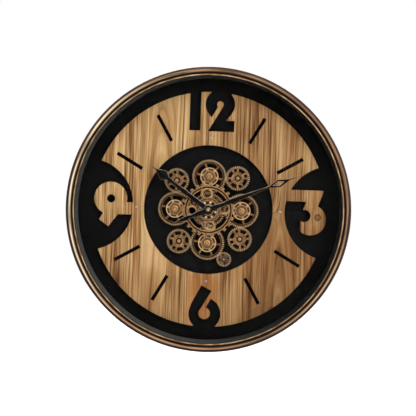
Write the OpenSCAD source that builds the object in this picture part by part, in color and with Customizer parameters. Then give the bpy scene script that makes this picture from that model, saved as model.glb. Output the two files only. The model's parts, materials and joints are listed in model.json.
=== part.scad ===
/* [Case] */
// outside radius of the round frame
frame_r = 300; // [299.5:0.5:303]
// radial width of the frame wall in front of the backing
wall_w = 14; // [13.5:0.5:15]
// thickness of the round sleeve behind the glass
sleeve_t = 4.3; // [3.5:0.1:5]
// thickness of the glass
glass_t = 3; // [2.5:0.5:3.5]
// depth of the hollow behind the backing
rear_h = 20; // [20:0.5:21]
// thickness of the black backing
backing_t = 6; // [5.5:0.5:6.5]
// air between the nut of the hands and the glass
glass_gap = 1.2; // [1:0.1:4]
// height of the crest of the frame above the glass
crest_rise = 8; // [7.5:0.1:9]
// width of the black ring between the dial and the sleeve
border_w = 29.4; // [26:0.2:34]

/* [Wooden dial] */
// thickness of the wooden dial
wood_t = 9; // [8:0.5:10]
// radius of the hole round the gears
eye_r = 138; // [134:1:140]
// width of one hour bar
bar_w = 6.2; // [5:0.2:8]
// distance of the hour bars from the hole round the gears
bar_root = 29.4; // [26:0.2:32]
// distance of the hour bars from the edge of the dial
bar_edge = 23; // [20:0.5:26]
// distance of the dial screws from the centre
screw_ring_r = 154; // [151:1:156]

/* [Gears] */
// tooth module of the fine gears
tooth_m = 1.48; // [1.44:0.01:1.49]
// thickness of the fine gears
gear_t = 4; // [3.6:0.1:4.2]
// play between two meshing teeth
tooth_slack = 0.34; // [0.3:0.02:0.5]
// radial play of a gear on its axle
run_gap = 0.06; // [0.03:0.01:0.09]
// radius of the groove of the peg wheel
groove_r = 48; // [47:0.5:49]
// peg wheel radius between the pegs
wheel_r = 51.5; // [51:0.5:52]
// peg wheel radius over the pegs
peg_r = 57; // [56:0.5:58]
// width of one peg
peg_w = 5.6; // [5:0.2:6.4]

/* [Hands] */
// length of the minute hand from the axis
minute_len = 213; // [205:1:220]
// length of the hour hand from the axis
hour_len = 162.5; // [158:0.5:168]
// length of the tail of the minute hand
tail_len = 77; // [72:1:80]
// thickness of a hand
hand_t = 1.6; // [1.4:0.1:1.8]

/* [Hidden] */
round_fn = 96;
seat_r = frame_r - wall_w;
sleeve_r = seat_r - 0.3;
cavity_r = seat_r + 4.3;
dial_r = sleeve_r - sleeve_t - border_w;
bar_out = dial_r - bar_edge;
numeral_scale = (dial_r - eye_r) / 114;
numeral_push = dial_r - 252 * numeral_scale;
backing_h = rear_h + backing_t;
gear_h = backing_h + 6;
cap_h = gear_h + gear_t + 3.3;
wheel_h = gear_h + gear_t + 4;
bush_r = 4;
pipe_r = 2.9;
shaft_r = 1.7;
hour_h = wheel_h + 9.5;
minute_h = hour_h + hand_t + 1.9;
nut_t = 3.2;
glass_h = minute_h + hand_t + nut_t + glass_gap;
lip_h = glass_h + glass_t;
frame_depth = lip_h + crest_rise;
crest_r = 5.5;
crest_h = frame_depth - crest_r;
wall_y = frame_depth / 2;
screw_len = 6.4;
bracket_w = 16;
bracket_len = 28;
bracket_hole = 18;
hanger_z = cavity_r - 60.3;
hanger_len = 28;
hanger_half = 46;
keyhole_r = 5;
slide_len = hanger_len - 2 * keyhole_r - 7;
case_w = 56;
case_wall = 1.5;
movement_drop = 36;
movement_len = 56;
motor_drop = 42;
motor_len = 60;
cell_r = 7.1;
cell_len = case_w - 2 * case_wall - 3.5;
flange_half = case_w / 2 + 8;
flange_hole = flange_half - 4;
cell_h = cell_r + 2.4;
contact_half = cell_r - 2.1;
fine_n = 48;
corner_n = 34;
pinion_n = 20;
medium_d = tooth_m * fine_n;
corner_d = tooth_m * (fine_n + corner_n) / 2;
pinion_d = tooth_m * (fine_n + pinion_n) / 2;
corner_a = -1.6;
pinion_a = -42.6;
corner_x = corner_d * cos(corner_a);
corner_z = medium_d + corner_d * sin(corner_a);
pinion_x = pinion_d * cos(pinion_a);
pinion_z = -medium_d + pinion_d * sin(pinion_a);
medium_turn = 3.75;
corner_turn = mesh_turn(corner_a, medium_turn, fine_n, corner_n);
pinion_turn = mesh_turn(pinion_a, medium_turn, fine_n, pinion_n);
medium_spokes = [41, 48, 37, 41];
corner_holes = [72, 68, 36, 76];
motion_x = 12;

function involute(a) = tan(a) * 180 / PI - a;
function half_tooth(n, m, slack, r) = ((PI * m / 2 - slack / 2) / 2) / (n * m / 2) * 180 / PI
  + involute(20) - involute(acos(min(1, n * m * cos(20) / 2 / r)));
function mesh_turn(a, own, own_n, other_n) =
  a + 180 - (0.5 - (a - own) * own_n / 360) * 360 / other_n;
function tooth_points(n, m, slack, turn, add = 1) = [
  for (i = [0:n - 1]) for (k = [0:5])
    let (rp = n * m / 2, r = [rp - 1.2 * m, rp, rp + add * m, rp + add * m, rp, rp - 1.2 * m][k])
    let (a = turn + i * 360 / n + [-1, -1, -1, 1, 1, 1][k] * half_tooth(n, m, slack, r))
    [r * cos(a), r * sin(a)]
];

// lays a drawing on the plane at height h above the wall, facing the viewer
module lay(h) {
  translate([0, wall_y - h, 0]) rotate([90, 0, 0]) children();
}
// a flat slice from height h0 to h1 above the wall
module slab(h0, h1) {
  lay(h0) linear_extrude(height = h1 - h0) children();
}
// a round body turned about the clock axis from a profile of radius and height
module turned() {
  lay(0) rotate_extrude($fn = round_fn) children();
}
module rod(x, z, r, h0, h1) {
  lay(h0) translate([x, z, 0]) cylinder(h = h1 - h0, r = r, $fn = 48);
}
module disc(x, z, r) {
  translate([x, z]) circle(r = r, $fn = 64);
}
module tube_slice(x, z, r_out, r_in, h0, h1) {
  slab(h0, h1) difference() {
    disc(x, z, r_out);
    disc(x, z, r_in);
  }
}
module hex_nut(x, z, across, r_in, h0, h1) {
  slab(h0, h1) difference() {
    translate([x, z]) circle(r = across / 2 / cos(30), $fn = 6);
    disc(x, z, r_in);
  }
}
// a curved slot between two radii, opened half an angle to each side
module arc_slot(r_in, r_out, half) {
  intersection() {
    difference() {
      circle(r = r_out, $fn = 64);
      circle(r = r_in, $fn = 64);
    }
    polygon([
      [0, 0], [2 * r_out * cos(half), -2 * r_out * sin(half)], [2 * r_out, 0],
      [2 * r_out * cos(half), 2 * r_out * sin(half)]
    ]);
  }
}
// a dome of radius r and rise t standing at height h0
module dome(x, z, r, t, h0) {
  ball_r = (r * r + t * t) / 2 / t;
  intersection() {
    lay(h0 + t - ball_r) translate([x, z, 0]) sphere(r = ball_r, $fn = 64);
    rod(x, z, r, h0, h0 + t + 1);
  }
}
module four_around() {
  for (k = [0:3]) rotate([0, 90 * k, 0]) children();
}

module outer_frame() {
  color("#6b4a2e") difference() {
    turned() union() {
      polygon([
        [cavity_r, 0], [frame_r - 4.5, 0], [frame_r - 3.5, 1], [frame_r - 3.5, crest_h - 26],
        [frame_r - 1.5, crest_h - 18], [frame_r - 1.5, crest_h], [frame_r - 2 * crest_r, crest_h],
        [frame_r - 2 * crest_r, lip_h], [seat_r, lip_h], [seat_r, backing_h], [cavity_r, backing_h]
      ]);
      translate([frame_r - crest_r, crest_h]) circle(r = crest_r, $fn = 48);
      translate([frame_r - 2.7, crest_h - 21]) circle(r = 2.5, $fn = 32);
    }
    for (i = [0:5]) rotate([0, 30 + 60 * i, 0])
      translate([cavity_r - 1, wall_y - 10, 0]) rotate([0, 90, 0]) cylinder(h = 5.8, r = 1.6, $fn = 24);
  }
}

module glass_bead() {
  color("#b08a4a") turned() polygon(concat(
    [
      [seat_r - sleeve_t - 0.2, lip_h + 1.6], [seat_r - sleeve_t - 0.2, lip_h], [seat_r + 2.6, lip_h],
      [seat_r + 2.6, lip_h + 1.6], [seat_r, lip_h + 1.6]
    ],
    [for (k = [0:10]) [seat_r - 2.1 + 2.1 * cos(18 * k), lip_h + 2.3 + 2.1 * sin(18 * k)]],
    [[seat_r - 4.2, lip_h + 1.6]]
  ));
}

module glass_pane() {
  color("#dfe8ea", 0.25) slab(glass_h, lip_h) circle(r = seat_r - 0.4, $fn = round_fn);
}

module inner_sleeve() {
  color("#141414") turned() translate([sleeve_r - sleeve_t, backing_h])
    square([sleeve_t, glass_h - backing_h]);
}

module axle_positions_medium() {
  for (k = [0:3]) rotate(-90 * k) translate([0, medium_d]) children();
}
module axle_positions_corner() {
  for (k = [0:3]) rotate(-90 * k) translate([corner_x, corner_z]) children();
}

module hanger_screws() {
  for (x = [7 - hanger_half, hanger_half - 7]) for (z = [6, hanger_len - 6])
    translate([x, hanger_z + z]) children();
}

module dial_backing() {
  color("#0d0d0d") difference() {
    slab(rear_h, backing_h) difference() {
      circle(r = cavity_r - 0.3, $fn = round_fn);
      circle(r = bush_r + 0.1, $fn = 48);
      axle_positions_medium() circle(r = 3.1, $fn = 48);
      axle_positions_corner() circle(r = 2.1, $fn = 48);
      disc(pinion_x, pinion_z, 5);
      for (k = [0:3]) rotate(90 * k) disc(0, screw_ring_r, 1.5);
    }
    slab(rear_h - 1, rear_h + screw_len - 1.4) union() {
      for (i = [0:5]) rotate(30 + 60 * i) disc(cavity_r - bracket_hole, 0, 1.6);
      hanger_screws() circle(r = 1.6, $fn = 24);
      for (x = [-flange_hole, flange_hole]) disc(pinion_x + x, pinion_z - 12, 1.6);
    }
  }
}

// the shapes sawn out of the wooden dial
module cut_one() {
  translate([-46.6, 169]) square([23.5, 100]);
}
module cut_two() {
  difference() {
    union() {
      disc(18, 226.1, 31.5);
      polygon([
        [24.8, 222.1], [5.9, 189.6], [-6.3, 168.1], [49.3, 167.9], [49.5, 191.2], [32, 191.4],
        [32.6, 193.4], [42, 204.6], [46.3, 213.1], [49, 222]
      ]);
      polygon([[-6.8, 206.7], [0.3, 197.6], [12.5, 218.7], [-5, 222]]);
      translate([-2, 240]) square([44, 30]);
    }
    polygon([[12.5, 220], [12.5, 218.7], [0.3, 197.6], [-14, 190], [-6.3, 168.1], [5.9, 189.6], [23.6, 220]]);
    disc(18.1, 225.6, 7);
  }
}
module wood_three() {
  polygon([[140, 49.2], [246.4, 49.1], [234.2, 15.7], [230, 5], [203.1, 7.4], [208.7, 24.2], [140, 24.6]]);
  difference() {
    disc(219.3, -14.1, 33.1);
    translate([170, -60]) square([27.7, 90]);
    disc(206, -6.1, 13);
    polygon([[190, 26], [208.7, 24.2], [203.1, 7.4], [203, 4], [190, 0]]);
  }
}
module cut_three() {
  difference() {
    disc(264.6, 1, 101.4);
    wood_three();
  }
}
module wood_nine() {
  difference() {
    disc(-210.2, 17.9, 35.3);
    disc(-209.2, 17.1, 8.8);
  }
  translate([-205, -16.2]) square([60, 26.6]);
  polygon([[-193.5, -16.2], [-213.7, -43.2], [-233.7, -28.5], [-226.5, -15.3], [-226.5, -8], [-193.5, -8]]);
}
module cut_nine() {
  difference() {
    disc(-260, 3.3, 98.6);
    wood_nine();
  }
}
module cut_six() {
  difference() {
    union() {
      disc(-0.5, -224.4, 34.4);
      polygon([[-9.1, -162.9], [13.3, -174.1], [2.2, -192.7], [-13.3, -220], [-33.3, -214.1], [-29.7, -202.7]]);
      polygon([[12.1, -191], [25.1, -200.1], [27.3, -204.2], [24, -215], [1.5, -210.6]]);
      translate([-24, -265]) square([47, 24]);
    }
    polygon([[22, -180], [13.3, -174.1], [2.2, -192.7], [-13.3, -220], [-1.1, -223], [1.5, -210.6], [12.1, -191]]);
    disc(-1.1, -223, 12.5);
  }
}

module wood_dial() {
  color("#b5834b") slab(backing_h, backing_h + wood_t) difference() {
    circle(r = dial_r, $fn = round_fn);
    circle(r = eye_r, $fn = round_fn);
    translate([0, numeral_push]) scale(numeral_scale) union() {
      cut_one();
      cut_two();
    }
    translate([numeral_push, 0]) scale(numeral_scale) cut_three();
    translate([0, -numeral_push]) scale(numeral_scale) cut_six();
    translate([-numeral_push, 0]) scale(numeral_scale) cut_nine();
    for (i = [1, 2, 4, 5, 7, 8, 10, 11]) rotate(-30 * i)
      translate([-bar_w / 2, eye_r + bar_root]) square([bar_w, bar_out - eye_r - bar_root]);
    for (k = [0:3]) rotate(90 * k) disc(0, screw_ring_r, 1.6);
  }
}

module dial_screws() {
  color("#b9bcbe") four_around() union() {
    rod(0, screw_ring_r, 1.5, rear_h + 1, backing_h + wood_t);
    difference() {
      dome(0, screw_ring_r, 3.1, 1.9, backing_h + wood_t);
      for (a = [0, 90]) lay(backing_h + wood_t + 1) translate([0, screw_ring_r, 1]) rotate(a)
        cube([3.2, 0.7, 2], center = true);
    }
  }
}

module backing_brackets() {
  color("#9c9fa1") for (i = [0:5]) rotate([0, 30 + 60 * i, 0]) difference() {
    lay(0) translate([0, -bracket_w / 2, 0]) rotate([90, 0, 0]) mirror([0, 0, 1])
      linear_extrude(height = bracket_w) polygon([
        [cavity_r - bracket_len, rear_h - 1.4], [cavity_r - bracket_len, rear_h], [cavity_r - 0.2, rear_h],
        [cavity_r - 0.2, 4], [cavity_r - 1.6, 4], [cavity_r - 1.6, rear_h - 1.4]
      ]);
    rod(cavity_r - bracket_hole, 0, 1.7, rear_h - 3, rear_h + 1);
    translate([cavity_r - 5, wall_y - 10, 0]) rotate([0, 90, 0]) cylinder(h = 10, r = 1.7, $fn = 24);
  }
}

// one wood screw standing on the rear of a plate at height h, driven to the front
module wood_screw(h) {
  translate([0, 0, h]) cylinder(h = screw_len, r = 1.6, $fn = 24);
  translate([0, 0, h - 1.8]) cylinder(h = 1.8, r = 3.3, $fn = 32);
}
module wood_screws() {
  color("#b9bcbe") union() {
    for (i = [0:5]) rotate([0, 30 + 60 * i, 0]) union() {
      lay(0) translate([cavity_r - bracket_hole, 0, 0]) wood_screw(rear_h - 1.4);
      translate([0, wall_y - 10, 0]) rotate([0, 90, 0]) wood_screw(cavity_r - 1.6);
    }
    lay(0) hanger_screws() wood_screw(rear_h - 1.5);
    for (x = [-flange_hole, flange_hole]) lay(0) translate([pinion_x + x, pinion_z - 12, 0])
      wood_screw(rear_h - 2);
  }
}

module hanger_plate() {
  step_x = hanger_half - 12.5;
  color("#8f9294") difference() {
    translate([0, 0, hanger_z]) linear_extrude(height = hanger_len) translate([0, wall_y])
      for (m = [0, 1]) mirror([m, 0]) polygon([
        [-0.1, -4.5], [-0.1, -3], [step_x, -3], [step_x, 1.5 - rear_h], [hanger_half, 1.5 - rear_h],
        [hanger_half, -rear_h], [step_x - 1.5, -rear_h], [step_x - 1.5, -4.5]
      ]);
    rod(0, hanger_z + 2 * keyhole_r, keyhole_r, 1, 6);
    slab(1, 6) translate([0, hanger_z + 2 * keyhole_r]) union() {
      translate([-keyhole_r / 2, 0]) square([keyhole_r, slide_len]);
      disc(0, slide_len, keyhole_r / 2);
    }
    slab(rear_h - 3, rear_h + 1) hanger_screws() circle(r = 1.7, $fn = 24);
  }
}

module medium_axles() {
  color("#8a6a3c") four_around() union() {
    rod(0, medium_d, 3, rear_h - 6.5, cap_h + 2);
    rod(0, medium_d, 5.5, backing_h, gear_h - 0.3);
    rod(0, medium_d, 9, backing_h, backing_h + 2);
  }
}

module medium_caps() {
  color("#b98c4e") four_around() difference() {
    union() {
      rod(0, medium_d, 7.2, cap_h, cap_h + 1.2);
      dome(0, medium_d, 7.2, 2.6, cap_h + 1.2);
    }
    rod(0, medium_d, 3, cap_h - 1, cap_h + 2);
    lay(cap_h + 5.6) translate([0, medium_d, 0]) sphere(r = 2.6, $fn = 32);
  }
}

module axle_washers() {
  color("#9c9fa1") four_around() union() {
    tube_slice(0, medium_d, 6.5, 3.1, rear_h - 1, rear_h);
    tube_slice(corner_x, corner_z, 4.6, 2.1, rear_h - 0.8, rear_h);
  }
}

module medium_nuts() {
  color("#9c9fa1") four_around() hex_nut(0, medium_d, 10, 3, rear_h - 5.5, rear_h - 1);
}

module corner_axles() {
  color("#8a6a3c") four_around() union() {
    rod(corner_x, corner_z, 2, rear_h - 5.5, gear_h + gear_t + 1.6);
    rod(corner_x, corner_z, 4, backing_h, gear_h - 0.3);
    rod(corner_x, corner_z, 6.5, backing_h, backing_h + 2);
  }
}

module corner_caps() {
  color("#c79a55") four_around() difference() {
    union() {
      rod(corner_x, corner_z, 3.7, gear_h + gear_t + 0.3, gear_h + gear_t + 1);
      dome(corner_x, corner_z, 3.7, 2, gear_h + gear_t + 1);
    }
    rod(corner_x, corner_z, 2, gear_h + gear_t - 1, gear_h + gear_t + 1.6);
  }
}

module corner_nuts() {
  color("#9c9fa1") four_around() hex_nut(corner_x, corner_z, 7, 2, rear_h - 4, rear_h - 0.8);
}

// outline, cell bay and works bay of a case that reaches drop below its shaft
module case_face(x, z, drop, len) {
  translate([x - case_w / 2, z - drop]) square([case_w, len]);
}
module cell_bay(x, z, drop) {
  translate([x - case_w / 2 + case_wall, z - drop + case_wall])
    square([case_w - 2 * case_wall, 2 * cell_r + 1.1]);
}
module works_bay(x, z, drop, len) {
  translate([x - case_w / 2 + case_wall, z - drop + case_wall + 2 * cell_r + 2.3])
    square([case_w - 2 * case_wall, len - 2 * case_wall - 2 * cell_r - 2.3]);
}

module movement_case() {
  color("#1d1d1f") difference() {
    union() {
      slab(3, rear_h - 2) case_face(0, 0, movement_drop, movement_len);
      tube_slice(0, 0, 7, 5.4, rear_h - 2, rear_h - 0.5);
    }
    slab(2, rear_h - 3.3) union() {
      cell_bay(0, 0, movement_drop);
      works_bay(0, 0, movement_drop, movement_len);
    }
    rod(0, 0, bush_r, rear_h - 5, rear_h + 1);
    rod(motion_x, 0, 1 + run_gap, rear_h - 5, rear_h - 2.6);
  }
}

module movement_cover() {
  color("#242427") slab(1.5, 3) difference() {
    case_face(0, 0, movement_drop, movement_len);
    cell_bay(0, 0, movement_drop);
    disc(motion_x, 0, 6.4);
  }
}

module movement_board() {
  color("#3c6b3a") slab(rear_h - 4.6, rear_h - 3.3)
    translate([-case_w / 2 + 1.7, -16]) square([14.5, 32]);
}

module movement_coil() {
  color("#b3642f") translate([-case_w / 2 + 8, wall_y - rear_h + 8.6, 0]) union() {
    translate([0, 0, -9]) cylinder(h = 18, r = 3, $fn = 32);
    for (z = [-10, 9]) translate([-3.5, -4, z]) cube([7, 8, 1.2]);
  }
}

// places for the cell of each case
module cell_places() {
  for (p = [[0, -movement_drop], [pinion_x, pinion_z - motor_drop]])
    translate([p[0], wall_y - cell_h, p[1] + case_wall + cell_r + 0.6]) children();
}

module dry_cells() {
  color("#7a7d80") union() {
    cell_places() rotate([0, 90, 0]) union() {
      translate([0, 0, -cell_len / 2 - 0.25]) cylinder(h = cell_len, r = cell_r, $fn = 48);
      translate([0, 0, cell_len / 2 - 0.75]) cylinder(h = 1.5, r = 2.7, $fn = 32);
    }
  }
}

module cell_contacts() {
  color("#c9ccce") union() {
    cell_places() union() {
      translate([cell_len / 2 + 0.75, -4, -contact_half]) cube([1, 8, 2 * contact_half]);
      translate([-cell_len / 2 - 1.75, -4, -contact_half]) cube([1.5, 8, 2 * contact_half]);
    }
  }
}

module threaded_bush() {
  color("#c2a050") union() {
    tube_slice(0, 0, bush_r, pipe_r + run_gap, rear_h - 4.8, wheel_h + 6.4);
    tube_slice(0, 0, 6, pipe_r + run_gap, rear_h - 4.8, rear_h - 3.3);
  }
}

module rubber_washer() {
  color("#1a1a1a") tube_slice(0, 0, 12, 7.2, rear_h - 2, rear_h);
}

module bush_nut() {
  color("#c2a050") hex_nut(0, 0, 13, bush_r, backing_h, backing_h + 2.5);
}

module bush_spacer() {
  color("#c2a050") tube_slice(0, 0, 6.5, bush_r, backing_h + 2.5, gear_h - 0.3);
}

module bush_collar() {
  color("#8a6a3c") tube_slice(0, 0, 6.2, bush_r, wheel_h + 6.3, wheel_h + 7.6);
}

module motor_case() {
  color("#1d1d1f") difference() {
    union() {
      slab(3, rear_h - 2) case_face(pinion_x, pinion_z, motor_drop, motor_len);
      slab(rear_h - 2, rear_h) translate([pinion_x - flange_half, pinion_z - 18])
        square([2 * flange_half, 12]);
    }
    slab(2, rear_h - 3.3) union() {
      cell_bay(pinion_x, pinion_z, motor_drop);
      works_bay(pinion_x, pinion_z, motor_drop, motor_len);
    }
    rod(pinion_x, pinion_z, 4.6, rear_h - 5, rear_h + 1);
    for (x = [-flange_hole, flange_hole]) rod(pinion_x + x, pinion_z - 12, 1.7, rear_h - 4, rear_h + 1);
  }
}

module motor_cover() {
  color("#242427") slab(1.5, 3) difference() {
    case_face(pinion_x, pinion_z, motor_drop, motor_len);
    cell_bay(pinion_x, pinion_z, motor_drop);
  }
}

module motor_gearbox() {
  color("#e5e2d8") difference() {
    union() {
      slab(rear_h - 11, rear_h - 3.3) translate([pinion_x - 14, pinion_z - 13]) square([28, 26]);
      rod(pinion_x, pinion_z, 4.5, rear_h - 4, rear_h + 2);
    }
    rod(pinion_x, pinion_z, 1.5 + run_gap, rear_h - 9, rear_h + 3);
  }
}

module motor_can() {
  color("#a7aaac") rod(pinion_x + 5, pinion_z, 7.5, 3.4, rear_h - 11);
}

module centre_gear() {
  color("#9a6f3c") difference() {
    slab(gear_h, gear_h + gear_t) difference() {
      polygon(tooth_points(fine_n, tooth_m, tooth_slack, 0));
      disc(0, 0, bush_r + run_gap);
      for (i = [0:5]) rotate(94 + 60 * i) arc_slot(18.5, 27.8, 15);
    }
    tube_slice(0, 0, 31.4, 30.2, gear_h + gear_t - 0.7, gear_h + gear_t + 1);
  }
}

module wheel_spacer() {
  color("#8a6337") tube_slice(0, 0, 12, bush_r + run_gap, gear_h + gear_t, wheel_h);
}

module centre_wheel() {
  color("#b98c50") difference() {
    union() {
      slab(wheel_h, wheel_h + 4) difference() {
        union() {
          circle(r = wheel_r, $fn = round_fn);
          for (i = [0:23]) rotate(11.5 + 15 * i) translate([wheel_r - 3, -peg_w / 2])
            square([peg_r - wheel_r + 3, peg_w]);
        }
        disc(0, 0, bush_r + run_gap);
        difference() {
          circle(r = 44.3, $fn = round_fn);
          circle(r = 26.6, $fn = round_fn);
          for (k = [0:3]) rotate(96 + 90 * k) disc(34.7, 0, 13.2);
        }
        for (k = [0:3]) rotate(96 + 90 * k) disc(34.7, 0, 8.3);
      }
      for (k = [0:3]) rotate([0, -96 - 90 * k, 0]) tube_slice(34.7, 0, 10.8, 8.3, wheel_h + 4, wheel_h + 5);
      tube_slice(0, 0, 46.6, 44.3, wheel_h + 4, wheel_h + 4.9);
    }
    tube_slice(0, 0, groove_r + 1, groove_r - 0.6, wheel_h + 3, wheel_h + 6);
  }
}

module hub_flange() {
  color("#a97b43") difference() {
    union() {
      tube_slice(0, 0, 22, bush_r + run_gap, wheel_h + 4, wheel_h + 5.4);
      tube_slice(0, 0, 22, 19.8, wheel_h + 5.4, wheel_h + 6.4);
      tube_slice(0, 0, 11.5, 7, wheel_h + 5.4, wheel_h + 6.2);
    }
    for (i = [0:7]) rotate([0, -30 - 45 * i, 0]) rod(16.2, 0, 2.7, wheel_h + 3, wheel_h + 8);
  }
}

module hub_balls() {
  color("#e6e2d6") for (i = [0:7]) rotate([0, -30 - 45 * i, 0])
    lay(wheel_h + 6.2) translate([16.2, 0, 0]) sphere(r = 2.2, $fn = 32);
}

// a toothed rim joined to its middle by six spokes
module medium_gear(k) {
  color("#a87a45") rotate([0, 90 * k, 0]) difference() {
    union() {
      slab(gear_h, gear_h + gear_t) translate([0, medium_d]) difference() {
        polygon(tooth_points(fine_n, tooth_m, tooth_slack, medium_turn));
        circle(r = 3 + run_gap, $fn = 48);
        difference() {
          circle(r = 28.8, $fn = 64);
          circle(r = 19.4, $fn = 64);
          for (i = [0:5]) rotate(90 - medium_spokes[k] + 90 * k + 60 * i)
            translate([18, -1.9]) square([12, 3.8]);
        }
      }
    }
    tube_slice(0, medium_d, 31.6, 30.4, gear_h + gear_t - 0.7, gear_h + gear_t + 1);
  }
}
// the raised ring with six shallow recesses on a spoked gear
module medium_ring(k) {
  color("#b98c50") rotate([0, 90 * k, 0]) difference() {
    union() {
      tube_slice(0, medium_d, 19.2, 3 + run_gap, gear_h + gear_t, gear_h + gear_t + 1.6);
      tube_slice(0, medium_d, 19.2, 17.6, gear_h + gear_t + 1.6, gear_h + gear_t + 3);
      tube_slice(0, medium_d, 12.4, 9, gear_h + gear_t + 1.6, gear_h + gear_t + 3);
      slab(gear_h + gear_t + 1.6, gear_h + gear_t + 3) translate([0, medium_d])
        for (i = [0:5]) rotate(90 - medium_spokes[k] + 90 * k + 60 * i)
          translate([12, -1.8]) square([6.2, 3.6]);
    }
  }
}

module corner_gear(k) {
  color("#b08048") rotate([0, 90 * k, 0]) difference() {
    slab(gear_h, gear_h + gear_t) translate([corner_x, corner_z]) difference() {
      polygon(tooth_points(corner_n, tooth_m, tooth_slack, corner_turn));
      circle(r = 2 + run_gap, $fn = 48);
      for (i = [0:3]) rotate(90 - corner_holes[k] + 90 * k + 90 * i) {
        disc(17.5, 0, 3.7);
        rotate(45) arc_slot(14.5, 20, 22);
      }
    }
    tube_slice(corner_x, corner_z, 8, 5.2, gear_h + gear_t - 1, gear_h + gear_t + 1);
  }
}

module drive_pinion() {
  color("#8d6a45") difference() {
    slab(gear_h, gear_h + gear_t) translate([pinion_x, pinion_z]) difference() {
      polygon(tooth_points(pinion_n, tooth_m, tooth_slack, pinion_turn));
      circle(r = 1.5, $fn = 48);
      for (i = [0:3]) rotate(14 + 90 * i) disc(9.2, 0, 2.5);
    }
    tube_slice(pinion_x, pinion_z, 5.6, 3.4, gear_h + gear_t - 0.9, gear_h + gear_t + 1);
  }
}

module motor_shaft() {
  color("#8f9294") union() {
    rod(pinion_x, pinion_z, 1.5, rear_h - 8.5, gear_h + gear_t + 0.6);
    tube_slice(pinion_x, pinion_z, 3, 1.5, backing_h + 1, gear_h);
  }
}

// a bar with a raised ridge along the hand and a thin flange on each side
module ridge(len_back, len_front, w, t) {
  translate([0, len_front, 0]) rotate([90, 0, 0]) linear_extrude(height = len_back + len_front)
    polygon([[-20, 0], [20, 0], [20, t * 0.5], [w, t * 0.5], [0, t], [-w, t * 0.5], [-20, t * 0.5]]);
}
module minute_outline() {
  polygon([
    [0, minute_len], [1.3, minute_len - 22], [1.3, minute_len - 28], [8.6, minute_len - 53.5],
    [1.8, minute_len - 75], [5.4, 58], [3.8, 30], [5.4, 16], [5.6, -18], [3.6, -36], [5, -52],
    [0, -tail_len], [-5, -52], [-3.6, -36], [-5.6, -18], [-5.4, 16], [-3.8, 30], [-5.4, 58],
    [-1.8, minute_len - 75], [-8.6, minute_len - 53.5], [-1.3, minute_len - 28], [-1.3, minute_len - 22]
  ]);
  circle(r = 10, $fn = 64);
}
module minute_hand() {
  color("#101010") rotate([0, 67.4, 0]) difference() {
    union() {
      intersection() {
        slab(minute_h, minute_h + hand_t) difference() {
          minute_outline();
          polygon([
            [0, minute_len - 42], [4.9, minute_len - 54], [0, minute_len - 66], [-4.9, minute_len - 54]
          ]);
        }
        lay(minute_h) ridge(tail_len + 1, minute_len + 1, 5.6, hand_t);
      }
      tube_slice(0, 0, 4.4, shaft_r, minute_h, minute_h + hand_t + 0.5);
    }
    rod(0, 0, shaft_r, minute_h - 1, minute_h + 4);
  }
}
module hour_outline() {
  union() {
    polygon([
      [0, hour_len], [1.4, hour_len - 22], [11.3, hour_len - 42], [4.4, hour_len - 54],
      [3.6, hour_len - 68], [4.6, 64], [5, 22], [5, -6], [-5, -6], [-5, 22], [-4.6, 64],
      [-3.6, hour_len - 68], [-4.4, hour_len - 54], [-11.3, hour_len - 42], [-1.4, hour_len - 22]
    ]);
    circle(r = 9.5, $fn = 64);
  }
}
module hour_hand() {
  color("#101010") rotate([0, 306.1, 0]) difference() {
    intersection() {
      slab(hour_h, hour_h + hand_t) hour_outline();
      lay(hour_h) ridge(11, hour_len + 1, 5, hand_t);
    }
    rod(0, 0, pipe_r, hour_h - 1, hour_h + 4);
  }
}

module hour_pipe() {
  color("#c2a050") difference() {
    union() {
      rod(0, 0, pipe_r, 8.6, hour_h + hand_t + 0.2);
      rod(0, 0, 5, hour_h - 0.8, hour_h);
    }
    rod(0, 0, shaft_r + run_gap, 8, hour_h + hand_t + 1);
  }
}

module hour_wheel() {
  color("#e9e6dc") slab(9, 10.6) difference() {
    polygon(tooth_points(40, 0.48, 0.14, 0, 0.8));
    circle(r = pipe_r, $fn = 48);
  }
}

module minute_shaft() {
  color("#c9ccce") union() {
    rod(0, 0, shaft_r, 3.3, minute_h + hand_t + 2.2);
    rod(0, 0, 2.6, hour_h + hand_t + 0.5, minute_h);
  }
}

module cannon_pinion() {
  color("#e9e6dc") slab(4.6, 7.4) difference() {
    polygon(tooth_points(12, 0.5, 0.14, 0, 0.8));
    circle(r = shaft_r, $fn = 48);
  }
}

module hand_nut() {
  color("#d7ad55") difference() {
    union() {
      rod(0, 0, 3.1, minute_h + hand_t + 0.5, minute_h + hand_t + 1.9);
      dome(0, 0, 3.1, 1.3, minute_h + hand_t + 1.9);
    }
    rod(0, 0, shaft_r, minute_h, minute_h + hand_t + 2.2);
  }
}

module motion_wheel() {
  color("#e9e6dc") union() {
    slab(5.2, 6.8) difference() {
      translate([motion_x, 0]) polygon(tooth_points(36, 0.5, 0.14, mesh_turn(0, 0, 12, 36), 0.8));
      disc(motion_x, 0, 1);
    }
    slab(6.8, 11) difference() {
      translate([motion_x, 0]) polygon(tooth_points(10, 0.48, 0.14, mesh_turn(0, 0, 40, 10), 0.8));
      disc(motion_x, 0, 1);
    }
  }
}

module set_knob() {
  color("#d8d5cb") union() {
    rod(motion_x, 0, 1, 2, rear_h - 2.8);
    lay(0.6) translate([motion_x, 0, 0]) cylinder(h = 1.8, r = 5.6, $fn = 48);
  }
}

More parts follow.
